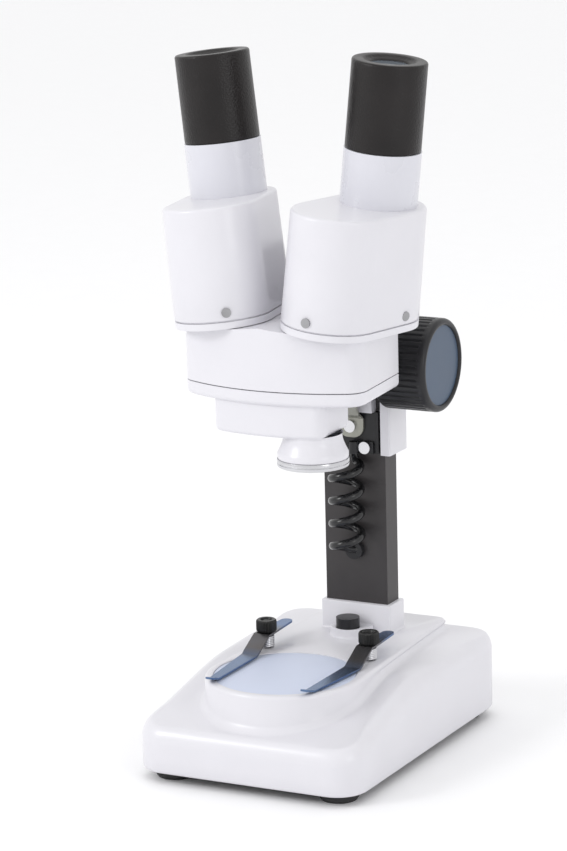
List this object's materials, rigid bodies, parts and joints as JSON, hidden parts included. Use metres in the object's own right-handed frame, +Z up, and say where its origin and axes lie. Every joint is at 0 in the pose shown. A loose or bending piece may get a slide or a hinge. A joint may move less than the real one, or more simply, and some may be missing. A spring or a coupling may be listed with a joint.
{
  "type": "stereo microscope",
  "caption": "Small stereo microscope: moulded base with stage and clips, rectangular column, rack focus, swinging prism housings with eyepieces, and a coiled lamp cord.",
  "frame": {"origin": "on the table, under the middle of the base", "axes": "+X the right side seen from the front, +Y the back (the column's side), +Z up"},
  "size_m": [0.1022, 0.134, 0.27],
  "materials": {
    "white_plastic": "satin",
    "stage_white": "matte",
    "black_plastic": "matte",
    "eyepiece_black": "fine grained",
    "column_black": "satin",
    "black_screw": "satin",
    "blued_steel": "blued",
    "bright_steel": "polished",
    "rack_steel": "machined",
    "brass": "machined",
    "lens_glass": "coated",
    "prism_glass": "polished",
    "disc_grey": "satin",
    "foot_rubber": "matte",
    "cord_black": "glossy",
    "bracket_grey": "satin",
    "cell_jacket": "satin",
    "led": "clear"
  },
  "bodies": {
    "stand": {"base_shell": "white_plastic", "bottom_plate": "black_plastic", "rubber_feet": "foot_rubber", "base_screws": "bright_steel", "column_screws": "bright_steel", "batteries": "cell_jacket", "battery_contacts": "bright_steel", "stage_plate": "stage_white", "power_switch": "black_plastic", "clip_screw_left": "black_screw", "clip_screw_right": "black_screw", "clip_spring_left": "bright_steel", "clip_spring_right": "bright_steel", "column": "column_black", "column_cap": "black_plastic", "rack": "rack_steel", "cord_gland": "black_plastic", "lamp_cord": "cord_black"},
    "battery_door": {"battery_door": "black_plastic"},
    "power_button": {"power_button": "black_plastic"},
    "clip_left": {"clip_strip_left": "blued_steel"},
    "clip_right": {"clip_strip_right": "blued_steel"},
    "focus_carriage": {"focus_carriage": "white_plastic", "shaft_bushings": "brass", "carriage_front_plate": "black_plastic", "lamp_bracket": "bracket_grey", "lamp": "black_plastic", "lamp_led": "led", "plate_screws": "bright_steel", "cord_clamp": "black_plastic", "head_upper": "white_plastic", "head_lower": "white_plastic", "objective_block": "white_plastic", "arm_screws": "bright_steel", "objective_barrel": "white_plastic", "objective_ring": "bright_steel", "objective_lens_right": "lens_glass", "objective_lens_left": "lens_glass"},
    "focus_drive": {"pinion_shaft": "rack_steel", "pinion": "brass", "focus_knob_left": "black_plastic", "focus_knob_right": "black_plastic", "knob_disc_left": "disc_grey", "knob_disc_right": "disc_grey"},
    "prism_unit_left": {"housing_shell_left": "white_plastic", "housing_base_left": "white_plastic", "swivel_ring_left": "rack_steel", "prism_left": "prism_glass", "housing_screws_left": "bright_steel", "eyepiece_tube_left": "white_plastic"},
    "eyepiece_left": {"eyepiece_left": "eyepiece_black", "eye_lens_left": "lens_glass"},
    "prism_unit_right": {"housing_shell_right": "white_plastic", "housing_base_right": "white_plastic", "swivel_ring_right": "rack_steel", "prism_right": "prism_glass", "housing_screws_right": "bright_steel", "eyepiece_tube_right": "white_plastic"},
    "eyepiece_right": {"eyepiece_right": "eyepiece_black", "eye_lens_right": "lens_glass"}
  },
  "joints": [
    {"name": "battery_door_slide", "type": "slide", "parent": "stand", "child": "battery_door", "axis": [0, -1, 0], "range_m": [0, 0.021]},
    {"name": "power_button_press", "type": "slide", "parent": "stand", "child": "power_button", "axis": [0, 0, -1], "range_m": [0, 0.0018], "stiffness_N_per_m": 500, "springref_m": -0.0005},
    {"name": "clip_left_turn", "type": "hinge", "parent": "stand", "child": "clip_left", "pos_m": [-0.022, -0.002, 0.043], "axis": [0, 0, 1], "range_deg": [-60, 15]},
    {"name": "clip_right_turn", "type": "hinge", "parent": "stand", "child": "clip_right", "pos_m": [0.022, -0.002, 0.043], "axis": [0, 0, 1], "range_deg": [-15, 60]},
    {"name": "focus_slide", "type": "slide", "parent": "stand", "child": "focus_carriage", "axis": [0, 0, 1], "range_m": [-0.028, 0.012], "deforming": ["lamp_cord"]},
    {"name": "focus_turn", "type": "hinge", "parent": "focus_carriage", "child": "focus_drive", "pos_m": [0, 0.0297, 0.1472], "axis": [1, 0, 0], "range_deg": [-160, 370]},
    {"name": "prism_swing_left", "type": "hinge", "parent": "focus_carriage", "child": "prism_unit_left", "pos_m": [-0.02193, -0.029, 0.17088], "axis": [-0.1071, 0, 0.9942], "range_deg": [-18, 6]},
    {"name": "eyepiece_pull_left", "type": "slide", "parent": "prism_unit_left", "child": "eyepiece_left", "axis": [-0.1071, 0, 0.9942], "range_m": [0, 0.012]},
    {"name": "prism_swing_right", "type": "hinge", "parent": "focus_carriage", "child": "prism_unit_right", "pos_m": [0.02193, -0.029, 0.17088], "axis": [0.1071, 0, 0.9942], "range_deg": [-6, 18]},
    {"name": "eyepiece_pull_right", "type": "slide", "parent": "prism_unit_right", "child": "eyepiece_right", "axis": [0.1071, 0, 0.9942], "range_m": [0, 0.012]}
  ],
  "couplings": [
    {"joint": "focus_turn", "follows": "focus_slide", "rad_per_m": -227.27}
  ]
}
